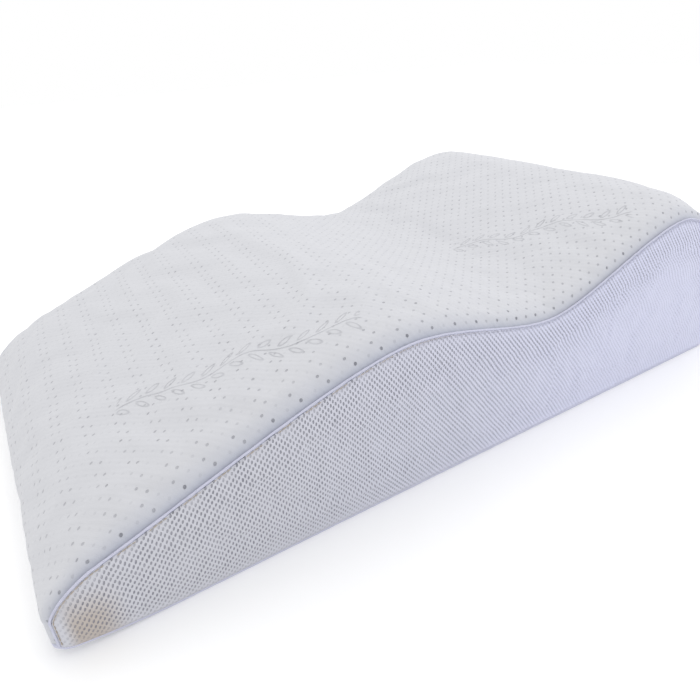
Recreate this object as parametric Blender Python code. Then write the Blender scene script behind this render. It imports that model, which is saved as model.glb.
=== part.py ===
"""Contour bed pillow: a moulded foam core in a thin liner, inside a zipped outer cover.

Frame: +X runs from the thin end to the tall end, -Y is the front mesh side and +Z is up.
The origin is on the floor, under the middle of the pillow. All lengths are in metres.
"""
import math

import bmesh
import bpy
from mathutils import Vector
from mathutils.geometry import interpolate_bezier

# ---- Overall sizes
LENGTH = 0.632              # thin end to tall end
WIDTH = 0.350               # front mesh face to rear mesh face

# ---- Side outline: the seam line between the top panel and the mesh sides
NOSE_HEIGHT = 0.027         # seam height where the thin end starts to lean back
NOSE_RUN = 0.032            # from the thin end to the foot of the ramp
NOSE_RISE = 0.0285          # from the nose height up to the foot of the ramp
RAMP_SLOPE = 0.34           # slope of the ramp at its foot
LOW_CREST_HEIGHT = 0.1238
VALLEY_HEIGHT = 0.102
HIGH_CREST_HEIGHT = 0.1495
LOW_CREST_TO_VALLEY = 0.128
VALLEY_TO_HIGH_CREST = 0.161
HIGH_CREST_TO_TALL_END = 0.089
TALL_SHOULDER_DROP = 0.085  # from the high crest down to where the tall end is upright
# How far each curve holds its direction on leaving or meeting a point, as a share of its run.
NOSE_EASE = 0.31
RAMP_EASE = 0.33
LOW_CREST_EASE_IN = 0.24
LOW_CREST_EASE_OUT = 0.31
VALLEY_EASE_IN = 0.30
VALLEY_EASE_OUT = 0.26
HIGH_CREST_EASE_IN = 0.28
HIGH_CREST_EASE_OUT = 0.30
SHOULDER_EASE = 0.60

# ---- Rounding of the top across the width
CROWN = 0.019               # how far the top stands above its front and rear seams
EDGE_POWER = 8.0            # a higher power makes the rolled edge tighter

# ---- Cloth and foam layers
TOP_PANEL_THICKNESS = 0.003
BOTTOM_PANEL_THICKNESS = 0.003
MESH_THICKNESS = 0.002
LINER_THICKNESS = 0.0008
GAP = 0.0003                # clearance between pieces that touch
WELT_DIAMETER = 0.003
BINDING_DIAMETER = 0.003
BINDING_LIFT = 0.0002       # keeps the binding just off the floor
BINDING_CORNER = 0.004      # corner radius of the binding's centre line
THREAD_DIAMETER = 0.0007
THREAD_INSET = 0.0015       # from the welt down to the row of stitches under it

# ---- Zip in the rear mesh side
ZIP_HEIGHT = 0.018          # centre line of the zip above the floor
ZIP_END_MARGIN = 0.096      # from each end of the pillow to the zip's end stop
ZIP_WINDOW_HEIGHT = 0.012   # opening in the mesh that shows the zip
ZIP_TAPE_WIDTH = 0.0132
ZIP_TAPE_THICKNESS = 0.0006
ZIP_TAPE_TAIL = 0.0125      # tape past each end of the window
ZIP_PART = 0.0008           # half the gap between the two rows of the chain
ZIP_ROW_WIDTH = 0.0022
ZIP_ROW_THICKNESS = 0.0013
STOP_LENGTH = 0.0032
STOP_REACH = 0.0039         # how far a stop reaches from the zip's centre line
STOP_THICKNESS = 0.0014
STITCH_MARGIN = 0.003       # from the window's edge out to the row of stitches round it

# ---- Slider and pull tab
SLIDER_LENGTH = 0.008
SLIDER_HALF_WIDTH = 0.0042
SLIDER_PLATE = 0.0013       # outer plate's thickness
SLIDER_BACK_PLATE = 0.0007
SLIDER_POST = 0.0005        # half the thickness of the post between the rows
SLIDER_FLANGE = 0.0008
BRIDGE_HALF_LENGTH = 0.0034
BRIDGE_HALF_WIDTH = 0.0009
BRIDGE_BAR = 0.0009         # thickness of the bridge's own bar
BRIDGE_OPENING = 0.0018     # room under the bridge for the pull tab's bar
PULL_LENGTH = 0.024
PULL_HALF_WIDTH = 0.0027
PULL_THICKNESS = 0.001
PULL_BAR = 0.001            # width of the bar that passes under the bridge
PULL_RAIL_CLEARANCE = 0.0004
PULL_EYE_REACH = 0.0042     # from the hinge axis to the far edge of the eye
PULL_WAIST_HALF_WIDTH = 0.0022
PULL_GRIP_HALF_WIDTH = 0.0025
PULL_TIP_HALF_WIDTH = 0.0013
PULL_SHOULDER = 0.002       # length over which the eye narrows to the waist, and the tip's chamfer

# ---- Care label on the rear side
LABEL_WIDTH = 0.026
LABEL_HEIGHT = 0.034
LABEL_THICKNESS = 0.0004
LABEL_FROM_THIN_END = 0.035

# ---- Mesh fineness
NOSE_STEPS = 6
CURVE_STEPS = 11
CORD_SIDES = 2              # bevel resolution of a welt
THREAD_SIDES = 1            # bevel resolution of a thread
OVERCUT = 0.001             # how far a cutter runs past what it cuts
WIDTH_SHARES = (1.0, 0.975, 0.94, 0.89, 0.82, 0.66, 0.35, 0.0)  # stations, from edge to middle
SHARP_ANGLE = 0.6           # edges that turn more than this, in radians, are shaded sharp

# ---- Worked out from the sizes above
THREAD_REACH = GAP + THREAD_DIAMETER
PLATE_REACH = SLIDER_PLATE - GAP
BRIDGE_REACH = PLATE_REACH + BRIDGE_OPENING + BRIDGE_BAR
FRONT_FACE = -(WIDTH + THREAD_REACH + BRIDGE_REACH) / 2 + THREAD_REACH
REAR_FACE = FRONT_FACE + WIDTH
THIN_END = -LENGTH / 2
TALL_END = LENGTH / 2
FOOT = BINDING_LIFT + BINDING_DIAMETER + GAP

LINER_INSET = max(TOP_PANEL_THICKNESS, WELT_DIAMETER) + GAP
CORE_INSET = LINER_INSET + LINER_THICKNESS + GAP
CORE_FOOT = FOOT + LINER_THICKNESS + GAP
TAPE_DEPTH = MESH_THICKNESS + GAP
BACK_PLATE_DEPTH = TAPE_DEPTH + ZIP_TAPE_THICKNESS + GAP
LINER_FRONT = FRONT_FACE + MESH_THICKNESS + GAP
LINER_REAR = REAR_FACE - BACK_PLATE_DEPTH - SLIDER_BACK_PLATE - GAP
CORE_FRONT = LINER_FRONT + LINER_THICKNESS + GAP
CORE_REAR = LINER_REAR - LINER_THICKNESS - GAP
MESH_INSET = WELT_DIAMETER + GAP

CHAIN_HALF = LENGTH / 2 - ZIP_END_MARGIN
ROW_HALF = CHAIN_HALF - STOP_LENGTH - GAP
WINDOW_HALF = CHAIN_HALF + GAP
SLIDER_AT_REST = ROW_HALF - GAP - SLIDER_LENGTH / 2
HINGE_REACH = PLATE_REACH + BRIDGE_OPENING / 2


def clear_scene():
    """Remove whatever the scene holds."""
    for old in list(bpy.data.objects):
        bpy.data.objects.remove(old, do_unlink=True)


def make_material(name, colour, roughness, metallic=0.0):
    """A Principled material in one colour."""
    material = bpy.data.materials.new(name)
    material.use_nodes = True
    shader = material.node_tree.nodes["Principled BSDF"]
    shader.inputs["Base Color"].default_value = (*colour, 1.0)
    shader.inputs["Roughness"].default_value = roughness
    shader.inputs["Metallic"].default_value = metallic
    material.diffuse_color = (*colour, 1.0)
    return material


def place(name, data, material, location=(0.0, 0.0, 0.0)):
    """Put a mesh or a curve in the scene as one named object."""
    item = bpy.data.objects.new(name, data)
    bpy.context.scene.collection.objects.link(item)
    item.location = location
    data.materials.append(material)
    return item


def mesh_from(name, bm, smooth=False):
    """Turn a bmesh into a mesh whose faces point outwards."""
    bmesh.ops.recalc_face_normals(bm, faces=bm.faces)
    mesh = bpy.data.meshes.new(name)
    bm.to_mesh(mesh)
    bm.free()
    if smooth:
        mesh.shade_smooth()
        mesh.set_sharp_from_angle(angle=SHARP_ANGLE)
    return mesh


# ---- Outline and layers

def side_outline(inset):
    """The seam line from the thin end over the top to the tall end, moved inwards by inset."""
    high_crest = TALL_END - HIGH_CREST_TO_TALL_END
    valley = high_crest - VALLEY_TO_HIGH_CREST
    low_crest = valley - LOW_CREST_TO_VALLEY
    ramp_foot = Vector((THIN_END + NOSE_RUN, 0, NOSE_HEIGHT + NOSE_RISE))
    ramp_way = Vector((1, 0, RAMP_SLOPE)).normalized()
    ramp_run = low_crest - ramp_foot.x
    nose_top = Vector((THIN_END, 0, NOSE_HEIGHT))
    low_top = Vector((low_crest, 0, LOW_CREST_HEIGHT))
    dip = Vector((valley, 0, VALLEY_HEIGHT))
    high_top = Vector((high_crest, 0, HIGH_CREST_HEIGHT))
    shoulder = Vector((TALL_END, 0, HIGH_CREST_HEIGHT - TALL_SHOULDER_DROP))
    along = Vector((1, 0, 0))
    up = Vector((0, 0, 1))
    curves = (
        (nose_top, nose_top + up * NOSE_RUN * NOSE_EASE,
         ramp_foot - ramp_way * NOSE_RUN * NOSE_EASE, ramp_foot, NOSE_STEPS),
        (ramp_foot, ramp_foot + ramp_way * ramp_run * RAMP_EASE,
         low_top - along * ramp_run * LOW_CREST_EASE_IN, low_top, CURVE_STEPS),
        (low_top, low_top + along * LOW_CREST_TO_VALLEY * LOW_CREST_EASE_OUT,
         dip - along * LOW_CREST_TO_VALLEY * VALLEY_EASE_IN, dip, CURVE_STEPS),
        (dip, dip + along * VALLEY_TO_HIGH_CREST * VALLEY_EASE_OUT,
         high_top - along * VALLEY_TO_HIGH_CREST * HIGH_CREST_EASE_IN, high_top, CURVE_STEPS),
        (high_top, high_top + along * HIGH_CREST_TO_TALL_END * HIGH_CREST_EASE_OUT,
         shoulder + up * TALL_SHOULDER_DROP * SHOULDER_EASE, shoulder, CURVE_STEPS),
    )
    line = []
    for start, out_handle, in_handle, end, steps in curves:
        stretch = interpolate_bezier(start, out_handle, in_handle, end, steps)
        line += stretch[1:] if line else stretch
    moved = []
    for index, point in enumerate(line):
        if index == 0:
            way = up
        elif index == len(line) - 1:
            way = -up
        else:
            way = (line[index + 1] - line[index - 1]).normalized()
        inwards = Vector((way.z, 0, -way.x))
        moved.append(point + inwards * inset)
    return moved


def full_outline(inset, foot):
    """The side outline with a point on the foot line below each of its ends."""
    line = side_outline(inset)
    return [Vector((line[0].x, 0, foot))] + line + [Vector((line[-1].x, 0, foot))]


def crown_at(y, front, rear):
    """Height of the top above the seam line, at y between the front and rear faces."""
    share = abs(2 * y - front - rear) / (rear - front)
    return CROWN * (1 - min(share, 1.0) ** EDGE_POWER)


def layer_row(inset, foot, y, front, rear):
    """One row of a rounded layer: the full outline at y, raised by the crown."""
    rise = crown_at(y, front, rear)
    row = []
    for point in full_outline(inset, foot):
        share = min(max((point.z - foot) / (NOSE_HEIGHT - foot), 0.0), 1.0)
        row.append(Vector((point.x, y, point.z + rise * share)))
    return row


def width_stations(front, rear):
    """Places across the width, closer together at the rolled edges."""
    half = (rear - front) / 2
    middle = (rear + front) / 2
    near_side = [middle - half * share for share in WIDTH_SHARES]
    far_side = [middle + half * share for share in reversed(WIDTH_SHARES[:-1])]
    return near_side + far_side


def add_rows(bm, rows):
    """Vertices for a list of rows."""
    return [[bm.verts.new(point) for point in row] for row in rows]


def add_strip(bm, row_a, row_b, closed):
    """Quads between two rows that match point for point."""
    count = len(row_a)
    for index in range(count if closed else count - 1):
        after = (index + 1) % count
        bm.faces.new((row_a[index], row_a[after], row_b[after], row_b[index]))


def add_sheet(bm, rows, closed=False):
    """Quads between each row and the next."""
    for row_a, row_b in zip(rows, rows[1:]):
        add_strip(bm, row_a, row_b, closed)


def thick_sheet(name, outer, inner, material):
    """A sheet of cloth with an outer and an inner side and four edges."""
    bm = bmesh.new()
    outside = add_rows(bm, outer)
    inside = add_rows(bm, inner)
    add_sheet(bm, outside)
    add_sheet(bm, inside)
    add_strip(bm, outside[0], inside[0], False)
    add_strip(bm, outside[-1], inside[-1], False)
    for end in (0, -1):
        outer_edge = [row[end] for row in outside]
        inner_edge = [row[end] for row in inside]
        add_strip(bm, outer_edge, inner_edge, False)
    return place(name, mesh_from(name, bm, smooth=True), material)


def cloth_tube(name, outer, inner, material):
    """A sleeve of cloth that is open at the front and at the rear."""
    bm = bmesh.new()
    outside = add_rows(bm, outer)
    inside = add_rows(bm, inner)
    add_sheet(bm, outside, closed=True)
    add_sheet(bm, inside, closed=True)
    add_strip(bm, outside[0], inside[0], True)
    add_strip(bm, outside[-1], inside[-1], True)
    return place(name, mesh_from(name, bm, smooth=True), material)


def solid_block(name, rows, material):
    """A solid body lofted through closed rows, with a flat cap on each end."""
    bm = bmesh.new()
    lofted = add_rows(bm, rows)
    add_sheet(bm, lofted, closed=True)
    bm.faces.new(lofted[0])
    bm.faces.new(lofted[-1])
    return place(name, mesh_from(name, bm, smooth=True), material)


def flat_panel(name, inset, foot, outer_y, inner_y, material):
    """An upright panel in the side outline's shape, between two Y planes."""
    rows = []
    for y in (outer_y, inner_y):
        rows.append([Vector((point.x, y, point.z)) for point in full_outline(inset, foot)])
    return solid_block(name, rows, material)


def box(name, low, high, material):
    """A block between two corners."""
    bm = bmesh.new()
    bmesh.ops.create_cube(bm, size=1.0)
    size = Vector(high) - Vector(low)
    bmesh.ops.scale(bm, vec=size, verts=bm.verts)
    bmesh.ops.translate(bm, vec=Vector(low) + size / 2, verts=bm.verts)
    return place(name, mesh_from(name, bm), material)


def cord(name, points, diameter, resolution, material, loop=False):
    """A round cord or thread along a line of points."""
    curve = bpy.data.curves.new(name, "CURVE")
    curve.dimensions = "3D"
    curve.bevel_depth = diameter / 2
    curve.bevel_resolution = resolution
    curve.use_fill_caps = not loop
    spline = curve.splines.new("POLY")
    spline.points.add(len(points) - 1)
    for slot, point in zip(spline.points, points):
        slot.co = (*point, 1.0)
    spline.use_cyclic_u = loop
    return place(name, curve, material)


def extruded(name, outline, way, material, location=(0.0, 0.0, 0.0)):
    """A flat outline pushed along one direction."""
    bm = bmesh.new()
    face = bm.faces.new([bm.verts.new(point) for point in outline])
    pushed = bmesh.ops.extrude_face_region(bm, geom=[face])
    fresh = [item for item in pushed["geom"] if isinstance(item, bmesh.types.BMVert)]
    bmesh.ops.translate(bm, vec=way, verts=fresh)
    return place(name, mesh_from(name, bm), material, location)


def combine(target, helper, operation):
    """Boolean one helper shape into or out of a piece."""
    helper.hide_render = True
    helper.display_type = "WIRE"
    step = target.modifiers.new(helper.name, "BOOLEAN")
    step.operation = operation
    step.solver = "EXACT"
    step.object = helper


def rounded_rectangle(half_x, front, rear, radius, steps=4):
    """Corner-rounded rectangle in the XY plane, as (x, y) pairs."""
    points = []
    corners = ((half_x - radius, rear - radius), (-half_x + radius, rear - radius),
               (-half_x + radius, front + radius), (half_x - radius, front + radius))
    for turn, (x, y) in enumerate(corners):
        for step in range(steps + 1):
            angle = math.radians(90 * (turn + step / steps))
            points.append((x + radius * math.cos(angle), y + radius * math.sin(angle)))
    return points


# ---- Inside of the pillow

def build_core(foam):
    """The moulded foam block that gives the pillow its shape."""
    rows = [layer_row(CORE_INSET, CORE_FOOT, y, CORE_FRONT, CORE_REAR)
            for y in width_stations(CORE_FRONT, CORE_REAR)]
    solid_block("foam_core", rows, foam)


def build_liner(jersey):
    """The thin inner case: a sleeve round the foam and a panel on each side."""
    stations = width_stations(LINER_FRONT, LINER_REAR)
    outer = [layer_row(LINER_INSET, FOOT, y, LINER_FRONT, LINER_REAR) for y in stations]
    inner = [layer_row(LINER_INSET + LINER_THICKNESS, FOOT + LINER_THICKNESS,
                       y, LINER_FRONT, LINER_REAR) for y in stations]
    cloth_tube("liner_sleeve", outer, inner, jersey)
    flat_panel("liner_front_side", CORE_INSET, CORE_FOOT,
               LINER_FRONT, LINER_FRONT + LINER_THICKNESS, jersey)
    flat_panel("liner_rear_side", CORE_INSET, CORE_FOOT,
               LINER_REAR, LINER_REAR - LINER_THICKNESS, jersey)


# ---- Outer cover

def build_panels(knit, base_cloth):
    """The knitted top panel, which wraps both ends, and the flat bottom panel."""
    stations = width_stations(FRONT_FACE + MESH_INSET, REAR_FACE - MESH_INSET)
    outer = [layer_row(0.0, FOOT, y, FRONT_FACE, REAR_FACE) for y in stations]
    inner = [layer_row(TOP_PANEL_THICKNESS, FOOT, y, FRONT_FACE, REAR_FACE) for y in stations]
    thick_sheet("cover_top_panel", outer, inner, knit)
    inset = BINDING_DIAMETER + GAP
    corner = BINDING_CORNER - BINDING_DIAMETER / 2 - GAP
    flat = rounded_rectangle(LENGTH / 2 - inset, FRONT_FACE + inset, REAR_FACE - inset, corner)
    outline = [Vector((x, y, 0)) for x, y in flat]
    extruded("cover_bottom_panel", outline, Vector((0, 0, BOTTOM_PANEL_THICKNESS)), base_cloth)


def build_sides(mesh_cloth):
    """The two mesh sides; the rear one has the window for the zip."""
    flat_panel("front_mesh_side", MESH_INSET, FOOT,
               FRONT_FACE, FRONT_FACE + MESH_THICKNESS, mesh_cloth)
    rear = flat_panel("rear_mesh_side", MESH_INSET, FOOT,
                      REAR_FACE, REAR_FACE - MESH_THICKNESS, mesh_cloth)
    half = ZIP_WINDOW_HEIGHT / 2
    cutter = box("zip_window_cutter",
                 (-WINDOW_HALF, REAR_FACE - MESH_THICKNESS - OVERCUT, ZIP_HEIGHT - half),
                 (WINDOW_HALF, REAR_FACE + OVERCUT, ZIP_HEIGHT + half), mesh_cloth)
    combine(rear, cutter, "DIFFERENCE")


def build_edging(binding, thread):
    """Welts on the upper seams, the binding round the bottom and the rows of stitches."""
    welt_line = full_outline(WELT_DIAMETER / 2, FOOT)
    thread_line = full_outline(MESH_INSET + THREAD_INSET, FOOT + THREAD_INSET)
    for side, face, outwards in (("front", FRONT_FACE, -1), ("rear", REAR_FACE, 1)):
        welt_y = face - outwards * WELT_DIAMETER / 2
        thread_y = face + outwards * (GAP + THREAD_DIAMETER / 2)
        welt_points = [(point.x, welt_y, point.z) for point in welt_line]
        thread_points = [(point.x, thread_y, point.z) for point in thread_line]
        cord(side + "_welt", welt_points, WELT_DIAMETER, CORD_SIDES, binding)
        cord(side + "_seam_stitching", thread_points, THREAD_DIAMETER, THREAD_SIDES, thread)
    half = BINDING_DIAMETER / 2
    loop = rounded_rectangle(LENGTH / 2 - half, FRONT_FACE + half, REAR_FACE - half,
                             BINDING_CORNER)
    level = BINDING_LIFT + half
    cord("bottom_binding", [(x, y, level) for x, y in loop], BINDING_DIAMETER, CORD_SIDES,
         binding, loop=True)


def build_label(cloth):
    """A blank care label, flat on the rear side near the thin end."""
    left = THIN_END + LABEL_FROM_THIN_END - LABEL_WIDTH / 2
    box("care_label", (left, REAR_FACE + GAP, FOOT),
        (left + LABEL_WIDTH, REAR_FACE + GAP + LABEL_THICKNESS, FOOT + LABEL_HEIGHT), cloth)


# ---- Zip

def build_zip(tape_cloth, coil, thread):
    """Tapes, the two rows of the chain, the end stops and the stitches round the window."""
    tape_half = WINDOW_HALF + ZIP_TAPE_TAIL
    tape_face = REAR_FACE - TAPE_DEPTH
    row_face = tape_face + GAP
    for side, way in (("upper", 1), ("lower", -1)):
        near = ZIP_HEIGHT + way * ZIP_PART
        tape_far = ZIP_HEIGHT + way * (ZIP_PART + ZIP_TAPE_WIDTH)
        row_far = near + way * ZIP_ROW_WIDTH
        box("zip_tape_" + side,
            (-tape_half, tape_face - ZIP_TAPE_THICKNESS, min(near, tape_far)),
            (tape_half, tape_face, max(near, tape_far)), tape_cloth)
        box("zip_row_" + side, (-ROW_HALF, row_face, min(near, row_far)),
            (ROW_HALF, row_face + ZIP_ROW_THICKNESS, max(near, row_far)), coil)
        stop_far = ZIP_HEIGHT + way * STOP_REACH
        box("zip_top_stop_" + side, (ROW_HALF + GAP, row_face, min(near, stop_far)),
            (CHAIN_HALF, row_face + STOP_THICKNESS, max(near, stop_far)), coil)
    box("zip_bottom_stop", (-CHAIN_HALF, row_face, ZIP_HEIGHT - STOP_REACH),
        (-ROW_HALF - GAP, row_face + STOP_THICKNESS, ZIP_HEIGHT + STOP_REACH), coil)
    half_x = WINDOW_HALF + STITCH_MARGIN
    half_z = ZIP_WINDOW_HEIGHT / 2 + STITCH_MARGIN
    thread_y = REAR_FACE + GAP + THREAD_DIAMETER / 2
    ring = [(-half_x, thread_y, ZIP_HEIGHT - half_z), (half_x, thread_y, ZIP_HEIGHT - half_z),
            (half_x, thread_y, ZIP_HEIGHT + half_z), (-half_x, thread_y, ZIP_HEIGHT + half_z)]
    cord("zip_stitching", ring, THREAD_DIAMETER, THREAD_SIDES, thread, loop=True)


def slider_section():
    """Cross-section of the slider in YZ: outer plate with two lips, post and back plate."""
    plate_in = -GAP
    lip_in = -(TAPE_DEPTH - 2 * GAP)
    back_out = -BACK_PLATE_DEPTH
    back_in = back_out - SLIDER_BACK_PLATE
    lip_z = SLIDER_HALF_WIDTH - SLIDER_FLANGE
    upper_half = [(PLATE_REACH, SLIDER_HALF_WIDTH), (lip_in, SLIDER_HALF_WIDTH),
                  (lip_in, lip_z), (plate_in, lip_z), (plate_in, SLIDER_POST),
                  (back_out, SLIDER_POST), (back_out, SLIDER_HALF_WIDTH),
                  (back_in, SLIDER_HALF_WIDTH)]
    lower_half = [(reach, -height) for reach, height in reversed(upper_half)]
    return upper_half + lower_half


def build_slider(metal):
    """The zip slider with the bridge that its pull tab hangs on."""
    rest = Vector((SLIDER_AT_REST, REAR_FACE, ZIP_HEIGHT))
    outline = [Vector((-SLIDER_LENGTH / 2, y, z)) for y, z in slider_section()]
    slider = extruded("zip_slider", outline, Vector((SLIDER_LENGTH, 0, 0)), metal, rest)
    foot_y = PLATE_REACH - GAP
    under = PLATE_REACH + BRIDGE_OPENING
    outer_x = BRIDGE_HALF_LENGTH
    inner_x = BRIDGE_HALF_LENGTH - BRIDGE_BAR
    staple = [(-outer_x, foot_y), (-outer_x, BRIDGE_REACH), (outer_x, BRIDGE_REACH),
              (outer_x, foot_y), (inner_x, foot_y), (inner_x, under),
              (-inner_x, under), (-inner_x, foot_y)]
    outline = [Vector((x, y, -BRIDGE_HALF_WIDTH)) for x, y in staple]
    bridge = extruded("slider_bridge", outline, Vector((0, 0, 2 * BRIDGE_HALF_WIDTH)), metal, rest)
    combine(slider, bridge, "UNION")


def build_pull_tab(metal):
    """The pull tab: a plate with an eye whose bar turns under the slider's bridge."""
    axis = Vector((SLIDER_AT_REST, REAR_FACE + HINGE_REACH, ZIP_HEIGHT))
    near = PULL_BAR / 2
    neck = PULL_EYE_REACH + PULL_BAR
    low_y = -PULL_THICKNESS / 2
    half_plan = [(near, PULL_HALF_WIDTH), (-neck, PULL_HALF_WIDTH),
                 (-neck - PULL_SHOULDER, PULL_WAIST_HALF_WIDTH),
                 (-PULL_LENGTH + PULL_SHOULDER, PULL_GRIP_HALF_WIDTH),
                 (-PULL_LENGTH, PULL_TIP_HALF_WIDTH)]
    plan = half_plan + [(x, -z) for x, z in reversed(half_plan)]
    outline = [Vector((x, low_y, z)) for x, z in plan]
    tab = extruded("zip_pull_tab", outline, Vector((0, PULL_THICKNESS, 0)), metal, axis)
    eye = BRIDGE_HALF_WIDTH + PULL_RAIL_CLEARANCE
    cutter = box("pull_eye_cutter", (-PULL_EYE_REACH, low_y - OVERCUT, -eye),
                 (-near, -low_y + OVERCUT, eye), metal)
    cutter.location = axis
    combine(tab, cutter, "DIFFERENCE")


def build_pillow():
    """Every piece, from the foam outwards."""
    clear_scene()
    foam = make_material("foam", (0.86, 0.82, 0.70), 0.9)
    jersey = make_material("liner_jersey", (0.84, 0.84, 0.84), 0.9)
    knit = make_material("top_knit", (0.72, 0.73, 0.76), 0.85)
    base_cloth = make_material("base_cloth", (0.66, 0.67, 0.72), 0.85)
    mesh_cloth = make_material("side_mesh", (0.55, 0.57, 0.66), 0.8)
    binding = make_material("binding", (0.60, 0.61, 0.72), 0.75)
    thread = make_material("thread", (0.52, 0.46, 0.40), 0.7)
    tape_cloth = make_material("zip_tape", (0.72, 0.73, 0.76), 0.8)
    coil = make_material("zip_coil", (0.72, 0.73, 0.76), 0.45)
    metal = make_material("zip_metal", (0.62, 0.62, 0.64), 0.3, metallic=1.0)
    label_cloth = make_material("label_cloth", (0.80, 0.80, 0.80), 0.8)
    build_core(foam)
    build_liner(jersey)
    build_panels(knit, base_cloth)
    build_sides(mesh_cloth)
    build_edging(binding, thread)
    build_label(label_cloth)
    build_zip(tape_cloth, coil, thread)
    build_slider(metal)
    build_pull_tab(metal)


build_pillow()
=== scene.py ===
"""Contour bed pillow: a moulded foam core in a thin liner, inside a zipped knitted and mesh cover.

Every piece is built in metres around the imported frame: +X runs from the thin end to the tall
end, -Y is the front mesh side, +Y the rear side with the zip, and +Z is up.
"""
import bisect
import functools
import logging
import math
from dataclasses import dataclass
from enum import Enum
from typing import Callable, Iterable, Mapping, Sequence

import bmesh
import bpy
from mathutils import Matrix, Vector, noise
from mathutils.geometry import interpolate_bezier


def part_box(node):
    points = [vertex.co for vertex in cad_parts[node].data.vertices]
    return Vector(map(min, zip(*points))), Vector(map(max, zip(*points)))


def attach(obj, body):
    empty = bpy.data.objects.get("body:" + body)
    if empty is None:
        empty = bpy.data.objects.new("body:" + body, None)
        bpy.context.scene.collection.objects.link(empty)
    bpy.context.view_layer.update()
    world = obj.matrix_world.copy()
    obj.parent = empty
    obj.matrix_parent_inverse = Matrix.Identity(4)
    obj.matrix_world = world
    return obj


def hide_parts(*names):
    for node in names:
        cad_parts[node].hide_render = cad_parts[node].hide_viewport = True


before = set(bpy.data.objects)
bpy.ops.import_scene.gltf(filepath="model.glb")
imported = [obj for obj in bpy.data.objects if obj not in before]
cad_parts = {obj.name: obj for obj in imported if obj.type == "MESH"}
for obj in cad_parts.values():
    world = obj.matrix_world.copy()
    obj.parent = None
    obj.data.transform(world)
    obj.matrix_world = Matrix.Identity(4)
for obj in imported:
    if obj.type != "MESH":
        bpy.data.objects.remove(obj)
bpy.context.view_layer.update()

LOG = logging.getLogger("pillow")

BASE_LOW, BASE_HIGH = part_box("bottom_binding")
THIN_END, TALL_END = BASE_LOW.x, BASE_HIGH.x
FRONT_FACE, REAR_FACE = BASE_LOW.y, BASE_HIGH.y
WIDTH = REAR_FACE - FRONT_FACE
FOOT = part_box("front_mesh_side")[0].z
UP = Vector((0, 0, 1))
ALONG = Vector((1, 0, 0))
ACROSS = Vector((0, 1, 0))


class Body(Enum):
    """The bodies that pieces ride on."""

    PILLOW = "pillow"
    SLIDER = "slider"
    PULL_TAB = "pull_tab"


class Slot(Enum):
    """The material slots of the record."""

    FOAM = "foam"
    JERSEY = "liner_jersey"
    KNIT = "top_knit"
    BASE = "base_cloth"
    MESH = "side_mesh"
    BINDING = "binding"
    THREAD = "thread"
    TAPE = "zip_tape"
    COIL = "zip_coil"
    METAL = "zip_metal"
    LABEL = "label_cloth"


class Side(Enum):
    """The two long sides, by the direction that they face along Y."""

    FRONT = -1
    REAR = 1

    @property
    def word(self) -> str:
        """The side's name in a piece's name."""
        return self.name.lower()

    @property
    def face(self) -> float:
        """Y of the side's outer face."""
        return FRONT_FACE if self is Side.FRONT else REAR_FACE


# ---- Shader graphs


class Value:
    """A shader socket that carries a number, with arithmetic that adds Math nodes."""

    def __init__(self, graph: "Graph", socket: bpy.types.NodeSocket) -> None:
        """Keep the graph and the socket."""
        self.graph = graph
        self.socket = socket

    def math(self, operation: str, *others: "Value | float") -> "Value":
        """Add one Math node that starts from this value.

        Args:
            operation: The Math node's operation.
            others: The node's further inputs.

        Returns:
            The node's result.
        """
        sockets = dict(enumerate((self, *others)))
        made = self.graph.node("Math", {"operation": operation}, sockets)
        return Value(self.graph, made.outputs[0])

    def __add__(self, other: "Value | float") -> "Value":
        """This value plus another."""
        return self.math("ADD", other)

    __radd__ = __add__

    def __sub__(self, other: "Value | float") -> "Value":
        """This value less another."""
        return self.math("SUBTRACT", other)

    def __rsub__(self, other: "Value | float") -> "Value":
        """Another value less this one."""
        return (self * -1.0) + other

    def __mul__(self, other: "Value | float") -> "Value":
        """This value times another."""
        return self.math("MULTIPLY", other)

    __rmul__ = __mul__

    def __truediv__(self, other: "Value | float") -> "Value":
        """This value divided by another."""
        return self.math("DIVIDE", other)

    def __pow__(self, other: "Value | float") -> "Value":
        """This value to a power."""
        return self.math("POWER", other)

    def fraction(self) -> "Value":
        """The part after the decimal point."""
        return self.math("FRACT")

    def size(self) -> "Value":
        """The value without its sign."""
        return self.math("ABSOLUTE")

    def wave(self, length: float) -> "Value":
        """A sine wave between -1 and 1 that repeats once in each length."""
        return (self * (2 * math.pi / length)).math("SINE")

    def at_least(self, other: "Value | float") -> "Value":
        """The larger of the two."""
        return self.math("MAXIMUM", other)

    def at_most(self, other: "Value | float") -> "Value":
        """The smaller of the two."""
        return self.math("MINIMUM", other)

    def within_one(self) -> "Value":
        """The value held between 0 and 1."""
        return self.at_least(0.0).at_most(1.0)

    def step(self, low: float, high: float) -> "Value":
        """A smooth step from 0 at low to 1 at high.

        Args:
            low: Where the step starts.
            high: Where it ends, which may be below low for a falling step.

        Returns:
            The stepped value.
        """
        settings = {"interpolation_type": "SMOOTHSTEP"}
        if low < high:
            sockets = {"Value": self, "From Min": low, "From Max": high}
            return Value(self.graph, self.graph.node("MapRange", settings, sockets).outputs[0])
        return 1.0 - self.step(high, low)


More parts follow.
